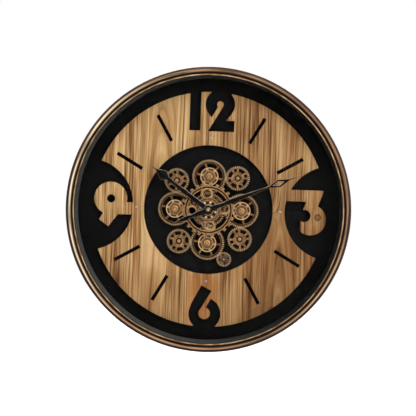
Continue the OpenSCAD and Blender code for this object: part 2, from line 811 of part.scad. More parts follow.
outer_frame();
glass_bead();
glass_pane();
inner_sleeve();
dial_backing();
wood_dial();
dial_screws();
backing_brackets();
wood_screws();
hanger_plate();
medium_axles();
medium_caps();
axle_washers();
medium_nuts();
corner_axles();
corner_caps();
corner_nuts();
movement_case();
movement_cover();
movement_board();
movement_coil();
dry_cells();
cell_contacts();
threaded_bush();
rubber_washer();
bush_nut();
bush_spacer();
bush_collar();
motor_case();
motor_cover();
motor_gearbox();
motor_can();
centre_gear();
wheel_spacer();
centre_wheel();
hub_flange();
hub_balls();
medium_gear(0);  // medium_gear_top
medium_ring(0);  // medium_ring_top
medium_gear(1);  // medium_gear_right
medium_ring(1);  // medium_ring_right
medium_gear(2);  // medium_gear_bottom
medium_ring(2);  // medium_ring_bottom
medium_gear(3);  // medium_gear_left
medium_ring(3);  // medium_ring_left
corner_gear(0);  // corner_gear_top
corner_gear(1);  // corner_gear_right
corner_gear(2);  // corner_gear_bottom
corner_gear(3);  // corner_gear_left
drive_pinion();
motor_shaft();
hour_hand();
hour_pipe();
hour_wheel();
minute_hand();
minute_shaft();
cannon_pinion();
hand_nut();
motion_wheel();
set_knob();
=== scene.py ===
import bpy
import json
import math
from mathutils import Matrix, Vector


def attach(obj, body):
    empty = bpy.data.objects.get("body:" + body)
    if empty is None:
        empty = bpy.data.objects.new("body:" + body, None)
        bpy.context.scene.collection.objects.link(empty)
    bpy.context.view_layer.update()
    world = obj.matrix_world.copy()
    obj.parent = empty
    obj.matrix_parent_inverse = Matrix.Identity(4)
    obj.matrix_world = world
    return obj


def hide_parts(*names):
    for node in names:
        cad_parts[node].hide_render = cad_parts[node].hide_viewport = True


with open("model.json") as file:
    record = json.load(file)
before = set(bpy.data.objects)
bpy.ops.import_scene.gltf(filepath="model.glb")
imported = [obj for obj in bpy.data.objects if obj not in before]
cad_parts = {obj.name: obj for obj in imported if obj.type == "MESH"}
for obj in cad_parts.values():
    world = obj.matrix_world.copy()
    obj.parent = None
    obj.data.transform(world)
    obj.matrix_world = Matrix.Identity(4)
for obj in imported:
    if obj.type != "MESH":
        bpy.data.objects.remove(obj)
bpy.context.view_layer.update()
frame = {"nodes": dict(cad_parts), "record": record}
mm = 0.001
wallY = 35 * mm  # the wall stands behind the clock, the front faces -Y
print("frame loaded:", len(frame["nodes"]), "nodes")


def tone(red, green, blue):  # a colour as it looks on screen, 0 to 255
    return tuple((v / 255 / 12.92) if v <= 10 else ((v / 255 + 0.055) / 1.055) ** 2.4 for v in (red, green, blue))


class Wire:  # a socket that can be added, multiplied and so on
    def __init__(self, paint, socket):
        self.paint, self.socket = paint, socket

    def maths(self, operation, *values):
        return self.paint.add("ShaderNodeMath", {"operation": operation}, *values)

    def __add__(self, other): return self.maths("ADD", self, other)
    def __radd__(self, other): return self.maths("ADD", other, self)
    def __sub__(self, other): return self.maths("SUBTRACT", self, other)
    def __rsub__(self, other): return self.maths("SUBTRACT", other, self)
    def __mul__(self, other): return self.maths("MULTIPLY", self, other)
    def __rmul__(self, other): return self.maths("MULTIPLY", other, self)
    def __truediv__(self, other): return self.maths("DIVIDE", self, other)
    def __pow__(self, other): return self.maths("POWER", self, other)
    def __abs__(self): return self.maths("ABSOLUTE", self)
    def root(self): return self.maths("SQRT", self)
    def least(self, other): return self.maths("MINIMUM", self, other)
    def most(self, other): return self.maths("MAXIMUM", self, other)

    def fade(self, low, high, start=0.0, end=1.0):  # smooth step from start to end
        return self.paint.add("ShaderNodeMapRange", {"interpolation_type": "SMOOTHSTEP"},
                              self, low, high, start, end)


def span(x, z):  # length across the face of the clock
    return ((x ** 2) + (z ** 2)).root()


class Paint:  # one material and the nodes that make it
    def __init__(self, name, **constants):
        self.material = bpy.data.materials.new(name)
        self.material.use_nodes = True
        self.tree = self.material.node_tree
        self.shader = self.tree.nodes["Principled BSDF"]
        for key, value in constants.items():
            self.shader.inputs[key.replace("_", " ")].default_value = value

    def add(self, kind, settings, *values, out=0, **named):
        made = self.tree.nodes.new(kind)
        for key, value in settings.items():
            if key == "stops":
                ramp = made.color_ramp
                while len(ramp.elements) < len(value):
                    ramp.elements.new(0.5)
                for element, (place, colour) in zip(ramp.elements, value):
                    element.position, element.color = place, (*colour, 1)
            else:
                setattr(made, key, value)
        for key, value in list(enumerate(values)) + [(k.replace("_", " "), v) for k, v in named.items()]:
            if isinstance(value, Wire):
                self.tree.links.new(value.socket, made.inputs[key])
            elif value is not None:
                made.inputs[key].default_value = value
        return Wire(self, made.outputs[out])

    def place(self):
        return self.add("ShaderNodeTexCoord", {}, out="Object")

    def facing(self):  # the three parts of the surface's normal
        return self.axes(self.add("ShaderNodeTexCoord", {}, out="Normal"))

    def axes(self, vector):
        split = self.add("ShaderNodeSeparateXYZ", {}, vector)
        return [Wire(self, split.socket.node.outputs[i]) for i in range(3)]

    def nearest(self, x, z, spots):  # distance from the nearest of these middles, given in mm
        least = None
        for spotX, spotZ in spots:
            away = span(x - spotX * mm, z - spotZ * mm)
            least = least.least(away) if least else away
        return least

    def join(self, x, y, z):
        return self.add("ShaderNodeCombineXYZ", {}, x, y, z)

    def noise(self, vector, scale, detail=3.0, rough=0.55):
        return self.add("ShaderNodeTexNoise", {}, Vector=vector, Scale=scale, Detail=detail, Roughness=rough)

    def ramp(self, factor, *stops):
        return self.add("ShaderNodeValToRGB", {"stops": stops}, factor)

    def blend(self, factor, first, second, how="MIX"):  # two colours
        made = self.tree.nodes.new("ShaderNodeMix")
        made.data_type, made.blend_type = "RGBA", how
        for key, value in {0: factor, 6: first, 7: second}.items():
            if isinstance(value, Wire):
                self.tree.links.new(value.socket, made.inputs[key])
            else:
                made.inputs[key].default_value = (*value, 1) if key else value
        return Wire(self, made.outputs[2])

    def recess(self, reach, power=1.0):  # 1 in the open, less in corners and gaps; used to paint shade there
        return self.add("ShaderNodeAmbientOcclusion", {"samples": 6}, Distance=reach, out="AO") ** power

    def rim(self, reach):  # 1 along edges and on thin teeth, 0 in the middle of a broad face
        return 1 - self.add("ShaderNodeAmbientOcclusion", {"samples": 8, "inside": True, "only_local": True},
                            Distance=reach, out="AO")

    def finish(self, colour=None, rough=None, metal=None, height=None, depth=0.0002, strength=0.5):
        for key, value in (("Base Color", colour), ("Roughness", rough), ("Metallic", metal)):
            if isinstance(value, Wire):
                self.tree.links.new(value.socket, self.shader.inputs[key])
            elif value is not None:
                self.shader.inputs[key].default_value = value
        if height is not None:
            bump = self.add("ShaderNodeBump", {}, Height=height, Distance=depth, Strength=strength)
            self.tree.links.new(bump.socket, self.shader.inputs["Normal"])
        return self.material


# finishes
woodLook = {
    "leftArch": (-103, 160, 20, 0.13, 0), "rightArch": (157, -18, 22, 0.075, 137),  # x, z, depth, lean, shift
    "knots": ((234.6, -8.5, 6.0, 0.95), (186, 17, 5.0, 0.5), (143, -211, 6.0, 0.6)),  # x, z, size, strength
    "seams": (-176, -66, 28, 86, 146, 193), "seamHalf": 0.15,  # where planks of the board meet
    "light": (0.62, 0.74, 0.90),  # painted shade: the board is painted darker to the right, below and at the top
}


def makeDialWood():
    p = Paint("dialWood", Specular_IOR_Level=0.08)
    x, y, z = p.axes(p.place())
    sway = p.noise(p.join(x * 3, z * 1.2, 0), 3.0, 2.0) - 0.5
    bent = x + sway * 0.010
    for knotX, knotZ, size, strength in woodLook["knots"]:  # fibres run round the knots
        away = span(x - knotX * mm, (z - knotZ * mm) * 0.55)
        bent = bent + (x - knotX * mm) * away.fade(size * mm, size * 3.0 * mm, -0.5 * strength ** 4, 0.0)
    arches = []
    for name in ("leftArch", "rightArch"):  # rings of a board cut slightly out of line
        archX, archZ, deep, lean, shift = woodLook[name]
        arches.append(span(bent - archX * mm, (z - archZ * mm) * lean + deep * mm) + shift * mm)
    nearLeft = abs(bent + 0.103).fade(0.026, 0.044, 1.0, 0.0) * z.fade(-0.06, 0.02, 0.25, 1.0)
    nearRight = abs(bent - 0.157).fade(0.030, 0.046, 1.0, 0.0) * z.fade(0.04, -0.04, 0.0, 1.0)
    calm = (nearLeft * 0.70).most(nearRight * 0.60)
    ring = bent + (arches[0] - bent) * nearLeft + (arches[1] - bent) * nearRight
    plank = x * 0
    for seam in woodLook["seams"]:
        half = woodLook["seamHalf"]
        plank = plank + (x + sway * 0.002).fade((seam - half) * mm, (seam + half) * mm)
    slow = z * 0.25
    broad = p.noise(p.join(ring, slow * 0.5, plank * 0.013), 32.0, 2.0, 0.5)
    bands = p.noise(p.join(ring, slow * 0.12, plank * 0.017 + 1.7), 110.0, 2.0, 0.55)
    lines = p.noise(p.join(ring, slow * 0.05, 4.1), 300.0, 2.0, 0.55)
    hair = p.noise(p.join(x, y, z * 0.02), 1500.0, 2.0, 0.6)
    fine = p.noise(p.join(x + sway * 0.004, y, z * 0.03), 520.0, 1.0, 0.5)
    figure = bands * 0.40 + broad * 0.40 + lines * (0.30 - calm * 0.18) + calm * 0.10 + 0.02
    figure = figure + (fine - 0.5) * (0.20 - calm * 0.08) + (hair - 0.5) * 0.06
    colour = p.ramp(figure, (0.41, tone(108, 72, 44)), (0.48, tone(146, 107, 66)), (0.54, tone(174, 136, 90)),
                    (0.60, tone(196, 160, 110)), (0.68, tone(218, 187, 138)))
    dark = lines.fade(0.46, 0.36) * (1 - calm) * bands.fade(0.64, 0.46)
    colour = p.blend(dark * 0.80, colour, tone(96, 62, 38))
    pale = lines.fade(0.58, 0.68) * (1 - calm)
    colour = p.blend(pale * 0.45, colour, tone(232, 204, 160))
    warm = p.noise(p.join(ring * 2, z * 0.6, 2.2), 9.0, 2.0).fade(0.46, 0.66)
    colour = p.blend(warm * 0.30, colour, tone(214, 160, 110), "MULTIPLY")
    glow = z.fade(-0.120, -0.160) * x.fade(0.030, 0.026) * x.fade(-0.050, -0.030)  # the reddish plank at the six
    colour = p.blend(glow * 0.55, colour, tone(190, 122, 66))
    tint = p.noise(p.join(plank * 0.31, 0.5, 0.2), 5.0, 0.0).fade(0.35, 0.65, 0.92, 1.06)
    for knotX, knotZ, size, strength in woodLook["knots"]:
        away = span(x - knotX * mm, (z - knotZ * mm) * 0.9)
        edge = abs(away - size * mm * 0.93).fade(0.0, size * mm * 0.40, 1.0, 0.0)
        heart = away.fade(size * mm * 0.9, size * mm * 0.5)
        colour = p.blend(heart * 0.7 * strength, colour, tone(118, 80, 52))
        colour = p.blend(edge * strength, colour, tone(84, 52, 34))
    # painted shade: darker and redder to the right, below and at the top, with a painted lighter patch at the upper
    # right; tint is the planks' own tone
    toRight, below, top = woodLook["light"]
    tintAndPaintedShade = x.fade(-0.12, 0.20, 1.0, toRight) * z.fade(-0.24, 0.10, below, 1.0) * tint
    tintAndPaintedShade = tintAndPaintedShade * z.fade(0.10, 0.20, 1.0, top) * (x.fade(0.12, 0.20) * z.fade(0.04, 0.12) * 0.20 + 1)
    colour = p.blend(1.0, colour, p.join(tintAndPaintedShade, tintAndPaintedShade ** 1.3, tintAndPaintedShade ** 1.5), "MULTIPLY")
    wall = abs(p.facing()[1]).fade(0.75, 0.45)  # the sawn walls of the cut-outs
    raw = p.blend(bands, tone(26, 18, 13), tone(74, 52, 36))  # scorched by the saw
    colour = p.blend(wall, colour, raw)
    rough = 0.54 + hair * 0.16 + bands * 0.10
    return p.finish(colour, rough, 0.0, figure * 0.6 + hair * 0.4, 0.00022, 0.3)


gearSpots = {  # the middles of the gears in mm
    "medium": ((0, 71.04), (71.04, 0), (0, -71.04), (-71.04, 0)),
    "corner": ((60.66, 69.35), (69.35, -60.66), (-60.66, -69.35), (-69.35, 60.66)),
    "middle": ((0, 0),), "pinion": ((37.04, -105.10),),
}


def makeAntique(name, pale, mid, deep, metal=0.35, pits=0.5, reach=2.4, power=1.2, grooves=(), hollow=None,
                bare=0.9, teeth=None):
    # rubbed metal paint: pale on edges; patina and painted shade darken the gaps, grooves and walls
    p = Paint(name, Specular_IOR_Level=0.06)
    where = p.place()
    x, y, z = p.axes(where)
    patches = p.noise(where, 120.0, 4.0, 0.6)
    grain = p.noise(where, 700.0, 3.0, 0.6)
    clear = p.recess(reach * mm, power)
    rub = p.rim(bare * mm).fade(0.10, 0.50) * 0.95 + (patches * 0.75 + grain * 0.45).fade(0.50, 0.84) * 0.4
    colour = p.blend(rub.least(1.0), mid, pale)
    stain = p.noise(where, 230.0, 3.0, 0.65).fade(0.56, 0.40)
    colour = p.blend(stain * pits, colour, deep)
    if hollow:  # the sunk floor of a ring stays dark, its raised parts are rubbed bright
        raised = y.fade(wallY - hollow[0] * mm, wallY - hollow[1] * mm)
        brow = raised * p.nearest(x, z, gearSpots["medium"]).fade(14 * mm, 17 * mm, 0.12, 0.70)
        colour = p.blend(brow, p.blend(raised, p.blend(0.45, deep, mid), colour), pale)
    # patina and painted shade: dark rings where the grooves are
    for spots, radius, half, strength in grooves:
        away = p.nearest(x, z, gearSpots[spots])
        dark = abs(away - radius * mm).fade(half * 0.7 * mm, half * 1.25 * mm, 1.0, 0.0)
        colour = p.blend(dark * strength, colour, deep)
    if teeth:  # the teeth are rubbed by their neighbours
        spots, root = teeth
        out = p.nearest(x, z, gearSpots[spots])
        colour = p.blend(out.fade(root * mm, (root + 0.8) * mm) * 0.9, colour, tone(238, 194, 144))
    # patina and painted shade on the side walls
    colour = p.blend(abs(p.facing()[1]).fade(0.55, 0.20) * 0.9, colour, deep)
    # patina and painted shade in corners and gaps
    colour = p.blend(clear.fade(0.25, 0.80), deep, colour)
    rough = 0.36 + grain * 0.20 + stain * 0.12
    return p.finish(colour, rough, metal, patches * 0.5 + grain * 0.5, 0.00015, 0.3)


def makeHandRimCopperAndHighlight():  # the bared copper rims of the hands, with a painted highlight on the edges that face up
    p = Paint("handRimCopperAndHighlight", Specular_IOR_Level=0.1)
    where = p.place()
    side = p.facing()[2]
    wear = p.noise(where, 160.0, 3.0, 0.6)
    grain = p.noise(where, 900.0, 2.0)
    # painted highlight on rim edges facing up, copper on those facing down
    colour = p.blend(side.fade(-0.12, 0.12), tone(150, 92, 54), tone(214, 198, 176))
    colour = p.blend(wear.fade(0.60, 0.42) * 0.6, colour, tone(70, 52, 40))
    return p.finish(colour, 0.34 + grain * 0.2, 0.3, grain, 0.00004, 0.2)


frameLook = {
    "seam": math.radians(14.298), "seamHalf": (0.25, 0.8),  # the ends of the moulding meet at the right, a little low
    "hollow": (291.2, 289.7),  # the groove beside the bead
}


def makeFramePaint():
    p = Paint("framePaint", Specular_IOR_Level=0.10)
    where = p.place()
    x, y, z = p.axes(where)
    radius = span(x, z)
    right, up = x / radius, z / radius  # the way round the clock
    normal = p.facing()
    outward = normal[0] * right + normal[2] * up  # above 0 on the outer flank, below 0 on the inner one
    along = p.join(radius * 60, x * 1.6, z * 1.6)  # streaks run round the moulding
    streak = p.noise(along, 6.0, 5.0, 0.65)
    thread = p.noise(p.join(radius * 60, x * 0.5, z * 0.5), 11.0, 2.0, 0.5)
    broad = p.noise(p.join(x, y * 0.5, z), 7.0, 3.0)
    speck = p.noise(where, 540.0, 3.0, 0.6)
    inner = outward.fade(0.25, -0.25)
    rub = (streak * 0.55 + broad * 0.45 + thread * 0.2).fade(0.46, 0.76)
    paintedHighlight = inner * (((right * -1).most(0) ** 3) * 0.5 + 0.42 - right * up * 0.2)  # painted highlight: the inner flank is painted brightest at the left, where the light falls on it
    # the rubbed streaks, lightened further where the highlight is painted
    colour = p.blend(rub * (0.42 + paintedHighlight * 0.7), tone(108, 75, 54), tone(206, 162, 122))
    # painted highlight along the inner flank, strongest at the left
    colour = p.blend((paintedHighlight * 1.1).fade(0.42, 0.92) * (rub * 0.4 + 0.58), colour, tone(246, 224, 190))
    low = (up + right * 0.1).fade(0.45, 0.05)  # painted shade: the outer flank of the crest is painted dark, reaching further in below
    outer = outward.fade(-0.40, 0.05) * low
    outer = outer + outward.fade(-0.30, 0.30) * (1 - low) * (right.most(0) * 0.10 + 0.88)
    colour = p.blend(outer * 0.96, colour, tone(34, 23, 17))
    drag = p.noise(p.join(y * 45, x * 1.6, z * 1.6), 6.0, 4.0, 0.6)
    side = outward.fade(0.95, 0.995) * (drag * 0.7 + broad * 0.3).fade(0.42, 0.66)  # copper shows at the side
    colour = p.blend(side * 0.50, colour, tone(128, 92, 66))
    colour = p.blend(streak.fade(0.50, 0.32) * 0.7, colour, tone(46, 32, 25))
    colour = p.blend(thread.fade(0.44, 0.34) * 0.5, colour, tone(58, 40, 30))
    colour = p.blend(speck.fade(0.64, 0.74) * 0.25, colour, tone(190, 158, 120))
    edge, foot = frameLook["hollow"]
    groove = radius.fade(edge * mm, foot * mm) * y.fade(-20 * mm, -24 * mm)  # painted shade in the groove beside the bead
    colour = p.blend(groove * 0.85, colour, tone(30, 20, 14))
    # painted shade in the hollows of the moulding
    colour = p.blend(p.recess(4 * mm, 1.4).fade(0.25, 0.85), tone(22, 17, 14), colour)
    turn, (line, shadow) = frameLook["seam"], frameLook["seamHalf"]
    seam = abs(z * math.cos(turn) + x * math.sin(turn)).fade(line * mm, shadow * mm, 1.0, 0.0) * x.fade(0.20, 0.21)
    colour = p.blend(seam * 0.75, colour, tone(34, 24, 18))
    rough = 0.32 + speck * 0.2 + streak * 0.14
    return p.finish(colour, rough, 0.15, streak * 0.6 + speck * 0.4 - seam, 0.0004, 0.45)


def makeBeadPaint():
    p = Paint("beadPaint", Specular_IOR_Level=0.1)
    where = p.place()
    x, y, z = p.axes(where)
    wear = p.noise(p.join(span(x, z) * 30, x * 4, z * 4), 12.0, 4.0, 0.6)
    grain = p.noise(where, 480.0, 2.0)
    colour = p.blend(wear.fade(0.38, 0.66), tone(112, 84, 56), tone(186, 156, 116))
    paintedLitCrown = y.fade(-30.85 * mm, -31.2 * mm)  # painted shade on the bead's flanks, so only its top reads bright
    colour = p.blend(paintedLitCrown, tone(36, 26, 18), colour)
    # painted shade in the corners of the bead
    colour = p.blend(p.recess(2 * mm).fade(0.3, 0.9), tone(30, 22, 16), colour)
    return p.finish(colour, 0.30 + grain * 0.2, 0.4, grain, 0.0001, 0.3)


def makeBlack(name, low, high, rough, scale=300.0, depth=0.0001, shine=0.02):
    p = Paint(name, Specular_IOR_Level=shine)
    where = p.place()
    fine = p.noise(where, scale, 4.0, 0.65)
    cloud = p.noise(where, 9.0, 3.0)
    colour = p.blend((fine * 0.6 + cloud * 0.6).fade(0.35, 0.85), low, high)
    return p.finish(colour, rough + fine * 0.18, 0.0, fine, depth, 0.4)


def makeBoard():  # hardboard, painted black in front and bare behind
    p = Paint("blackBoard", Specular_IOR_Level=0.02)
    where = p.place()
    fine = p.noise(where, 260.0, 4.0, 0.65)
    cloud = p.noise(where, 9.0, 3.0)
    colour = p.blend((fine * 0.6 + cloud * 0.6).fade(0.35, 0.85), tone(12, 12, 12), tone(21, 20, 20))
    weave = p.noise(where, 420.0, 3.0, 0.7) * 0.6 + p.noise(where, 34.0, 4.0, 0.6) * 0.5
    bare = p.blend(weave.fade(0.38, 0.74), tone(92, 66, 44), tone(146, 112, 78))
    # painted shade in the corners of the bare back
    bare = p.blend(p.recess(7 * mm).fade(0.2, 0.9), tone(58, 42, 30), bare)
    behind = p.facing()[1].fade(0.5, 0.8)
    colour = p.blend(behind, colour, bare)
    return p.finish(colour, 0.62 + fine * 0.18, 0.0, fine + weave * behind, 0.00012, 0.4)


def makeSleeve():
    p = Paint("sleeveBlack", Specular_IOR_Level=0.04)
    where = p.place()
    x, y, z = p.axes(where)
    fine = p.noise(where, 420.0, 4.0, 0.65)
    rubs = p.noise(p.join(x * 2, y * 30, z * 2), 12.0, 3.0, 0.6)
    colour = p.blend((fine * 0.5 + rubs * 0.6).fade(0.35, 0.80), tone(62, 63, 62), tone(86, 87, 86))
    colour = p.blend((x + z * 0.2).fade(-0.20, 0.24) * 0.85, colour, tone(24, 24, 24))  # painted light and shade: the inner wall is lighter at the lower left, where the light falls on it, and darker towards the upper right
    return p.finish(colour, 0.60 + fine * 0.18, 0.0, fine, 0.0001, 0.4)


def makeMetal(name, pale, dark, rough, brush=(1, 1, 1), metal=1.0):
    p = Paint(name)
    where = p.place()
    along = [axis * stretch for axis, stretch in zip(p.axes(where), brush)]
    hair = p.noise(p.join(*along), 700.0, 3.0, 0.6)
    cloud = p.noise(where, 60.0, 3.0)
    colour = p.blend((hair * 0.6 + cloud * 0.5).fade(0.35, 0.80), dark, pale)
    # painted shade in corners and gaps
    colour = p.blend(p.recess(1.5 * mm).fade(0.25, 0.85), tuple(v * 0.3 for v in dark), colour)
    return p.finish(colour, rough + hair * 0.16, metal, hair, 0.00006, 0.3)


def makePlastic(name, low, high, rough=0.45, scale=420.0):
    p = Paint(name)
    where = p.place()
    fine = p.noise(where, scale, 3.0, 0.6)
    cloud = p.noise(where, 40.0, 2.0)
    colour = p.blend((cloud * 0.7 + fine * 0.4).fade(0.35, 0.75), low, high)
    # painted shade in corners and gaps
    colour = p.blend(p.recess(2 * mm).fade(0.2, 0.8), tuple(v * 0.45 for v in low), colour)
    return p.finish(colour, rough + fine * 0.12, 0.0, fine, 0.00008, 0.3)


def makeGlass():
    p = Paint("clearGlass")
    clear = p.add("ShaderNodeBsdfTransparent", {}, Color=(0.985, 0.99, 0.985, 1))
    smear = p.noise(p.place(), 14.0, 3.0)
    gloss = p.add("ShaderNodeBsdfGlossy", {}, Color=(1, 1, 1, 1), Roughness=0.03 + smear * 0.03)
    slant = p.add("ShaderNodeLayerWeight", {}, Blend=0.5, out="Facing")  # the same on both faces of the pane
    both = p.add("ShaderNodeMixShader", {}, slant ** 5 * 0.9 + 0.0004, clear, gloss)  # coated picture glass
    p.tree.links.new(both.socket, p.tree.nodes["Material Output"].inputs["Surface"])
    p.tree.nodes.remove(p.shader)
    return p.material


def makeNut():  # a painted glint in the middle, dark brass outside
    p = Paint("nutBrass", Specular_IOR_Level=0.3)
    where = p.place()
    x, y, z = p.axes(where)
    hair = p.noise(where, 900.0, 2.0)
    # painted glint: a pale disc in the middle of the nut
    colour = p.blend(span(x, z).fade(1.5 * mm, 2.1 * mm), tone(246, 218, 146), tone(58, 42, 24))
    return p.finish(p.blend(hair * 0.3, colour, tone(190, 148, 80)), 0.25 + hair * 0.15, 0.3, hair, 0.00004, 0.2)


def makeCellWrap():  # dark tube, copper band at the plus end, steel ends
    p = Paint("cellWrap", Specular_IOR_Level=0.4)
    where = p.place()
    x, y, z = p.axes(where)
    fine = p.noise(where, 600.0, 2.0)
    higher = z.fade(-81 * mm, -80 * mm)  # the cell of the movement sits higher than the one of the motor
    along = x - (1 - higher) * gearSpots["pinion"][0][0] * mm
    tube = p.blend(fine, tone(44, 46, 50), tone(62, 64, 70))
    tube = p.blend(along.fade(9 * mm, 9.4 * mm), tube, p.blend(fine, tone(168, 104, 58), tone(206, 142, 88)))
    ends = abs(p.facing()[0]).fade(0.6, 0.8)
    colour = p.blend(ends, tube, p.blend(fine, tone(150, 152, 154), tone(200, 202, 204)))
    return p.finish(colour, 0.26 + fine * 0.12, 0.35, fine, 0.00004, 0.2)


finish = {
    "framePaint": makeFramePaint(),
    "beadPaint": makeBeadPaint(),
    "clearGlass": makeGlass(),
    "dialWood": makeDialWood(),
    "blackBoard": makeBoard(),
    "sleeveBlack": makeSleeve(),
    "blackPlastic": makeBlack("blackPlastic", tone(28, 28, 29), tone(42, 42, 44), 0.42, 500.0, 0.00008, 0.25),
    "handBlack": makeBlack("handBlack", tone(10, 10, 11), tone(19, 19, 20), 0.40, 700.0, 0.00005, 0.03),
    "copperGear": makeAntique("copperGear", tone(232, 186, 132), tone(104, 68, 42), tone(20, 11, 7),
                              grooves=(("medium", 30.8, 1.3, 0.9),), bare=0.5, teeth=("medium", 32.9)),
    "cornerGear": makeAntique("cornerGear", tone(240, 196, 144), tone(128, 88, 56), tone(22, 12, 8),
                              grooves=(("corner", 5.3, 1.6, 0.97), ("corner", 21.5, 0.5, 0.6)), bare=0.7,
                              teeth=("corner", 22.6)),
    "wheelGold": makeAntique("wheelGold", tone(230, 188, 134), tone(140, 98, 62), tone(22, 13, 8), 0.35, 0.3,
                             grooves=(("middle", 48.0, 1.5, 0.98), ("middle", 24.0, 1.0, 0.8))),
    "collarDark": makeAntique("collarDark", tone(172, 132, 88), tone(64, 44, 28), tone(18, 11, 8), 0.3, 0.4),
    "hubGold": makeAntique("hubGold", tone(226, 186, 132), tone(118, 80, 50), tone(22, 12, 8), 0.35, 0.4,
                           grooves=(("middle", 15.6, 3.0, 0.9),)),
    "ringGold": makeAntique("ringGold", tone(226, 184, 132), tone(122, 82, 52), tone(22, 12, 8), 0.35, 0.4,
                            grooves=(("medium", 9.6, 1.1, 0.98),), hollow=(37.9, 38.8)),
    "capGold": makeAntique("capGold", tone(224, 180, 126), tone(178, 134, 90), tone(44, 26, 16), 0.35, 0.3,
                           grooves=(("medium", 3.4, 0.7, 0.6),)),
    "darkGear": makeAntique("darkGear", tone(208, 150, 100), tone(60, 37, 24), tone(16, 9, 6), 0.3, 0.6, bare=0.6,
                            teeth=("middle", 32.9)),
    "pinionGear": makeAntique("pinionGear", tone(196, 160, 130), tone(92, 68, 52), tone(20, 14, 10), 0.3, 0.6,
                              grooves=(("pinion", 4.4, 0.9, 0.8),), teeth=("pinion", 12.6)),
    "wornEdge": makeAntique("wornEdge", tone(246, 210, 160), tone(216, 172, 120), tone(70, 42, 26), 0.3, 0.2,
                            1.2, 1.0),
    "handRimCopperAndHighlight": makeHandRimCopperAndHighlight(),
    "zincSteel": makeMetal("zincSteel", tone(206, 214, 214), tone(140, 148, 148), 0.30),
    "axleBrass": makeMetal("axleBrass", tone(190, 148, 92), tone(120, 84, 48), 0.34),
    "nutBrass": makeNut(),
    "shaftSteel": makeMetal("shaftSteel", tone(212, 214, 216), tone(150, 152, 156), 0.24, (1, 0.1, 1)),
    # painted glint: the balls are painted near white so they show as bright points
    "ballPaintedGlint": makeMetal("ballPaintedGlint", tone(255, 252, 240), tone(232, 224, 204), 0.10, metal=0.3),
    "whitePlastic": makePlastic("whitePlastic", tone(206, 202, 190), tone(232, 228, 216)),
    "boardGreen": makePlastic("boardGreen", tone(26, 74, 34), tone(44, 104, 50), 0.35),
    "coilCopper": makeMetal("coilCopper", tone(196, 118, 66), tone(128, 62, 30), 0.30, (1, 1, 12)),
    "cellWrap": makeCellWrap(),
    "washerRubber": makeBlack("washerRubber", tone(22, 22, 22), tone(36, 36, 36), 0.7, 500.0, 0.0001),
}
print("finishes made:", len(finish))

nodeFinish = {
    "framePaint": ["outer_frame"], "beadPaint": ["glass_bead"], "clearGlass": ["glass_pane"],
    "sleeveBlack": ["inner_sleeve"],
    "blackPlastic": ["movement_case", "movement_cover", "motor_case", "motor_cover"],
    "blackBoard": ["dial_backing"], "dialWood": ["wood_dial"],
    "zincSteel": ["dial_screws", "backing_brackets", "wood_screws", "hanger_plate", "axle_washers",
                  "medium_nuts", "corner_nuts"],
    "axleBrass": ["medium_axles", "corner_axles", "threaded_bush", "bush_nut", "bush_spacer", "hour_pipe"],
    "collarDark": ["bush_collar"],
    "darkGear": ["centre_gear", "wheel_spacer"],
    "copperGear": ["medium_gear_top", "medium_gear_right", "medium_gear_bottom", "medium_gear_left"],
    "cornerGear": ["corner_gear_top", "corner_gear_right", "corner_gear_bottom", "corner_gear_left"],
    "pinionGear": ["drive_pinion"],
    "wheelGold": ["centre_wheel"], "hubGold": ["hub_flange"], "capGold": ["medium_caps", "corner_caps"],
    "ringGold": ["medium_ring_top", "medium_ring_right", "medium_ring_bottom", "medium_ring_left"],
    "ballPaintedGlint": ["hub_balls"], "handBlack": ["hour_hand", "minute_hand"], "nutBrass": ["hand_nut"],
    "shaftSteel": ["minute_shaft", "motor_shaft", "cell_contacts", "motor_can"],
    "whitePlastic": ["hour_wheel", "cannon_pinion", "motion_wheel", "set_knob", "motor_gearbox"],
    "boardGreen": ["movement_board"], "coilCopper": ["movement_coil"], "cellWrap": ["dry_cells"],
    "washerRubber": ["rubber_washer"],
}
bodyOf = {node: body for body, nodes in frame["record"]["behaviour"]["bodies"].items() for node in nodes}
finishOf = {}
for look, nodes in nodeFinish.items():
    for node in nodes:
        finishOf[node] = look
        for slot in frame["nodes"][node].material_slots:
            slot.material = finish[look]
print("nodes painted:", len(finishOf))


# modelling helpers
def pickOnly(piece):
    if bpy.context.object and bpy.context.object.mode != "OBJECT":
        bpy.ops.object.mode_set(mode="OBJECT")
    bpy.ops.object.select_all(action="DESELECT")
    piece.select_set(True)
    bpy.context.view_layer.objects.active = piece


def mergedCopy(node, name):
    piece = bpy.data.objects.new(name, frame["nodes"][node].data.copy())
    bpy.context.scene.collection.objects.link(piece)
    pickOnly(piece)
    bpy.ops.object.mode_set(mode="EDIT")
    bpy.ops.mesh.select_all(action="SELECT")
    bpy.ops.mesh.remove_doubles(threshold=0.004 * mm)
    bpy.ops.mesh.dissolve_limited(angle_limit=math.radians(0.4))
    bpy.ops.object.mode_set(mode="OBJECT")
    if piece.data.has_custom_normals:
        bpy.ops.mesh.customdata_custom_splitnormals_clear()
    return piece


def softenEdges(piece, width, segments=2, edgeSlot=-1):
    bevel = piece.modifiers.new("edges", "BEVEL")
    bevel.width, bevel.segments = width * mm, segments
    bevel.limit_method, bevel.angle_limit = "ANGLE", math.radians(35)
    bevel.use_clamp_overlap, bevel.material = False, edgeSlot
    pickOnly(piece)
    bpy.ops.object.modifier_apply(modifier="edges")
    bpy.ops.object.shade_smooth_by_angle(angle=math.radians(32))


def fitOut(piece, look, *nodes):
    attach(piece, bodyOf[nodes[0]])
    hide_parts(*nodes)


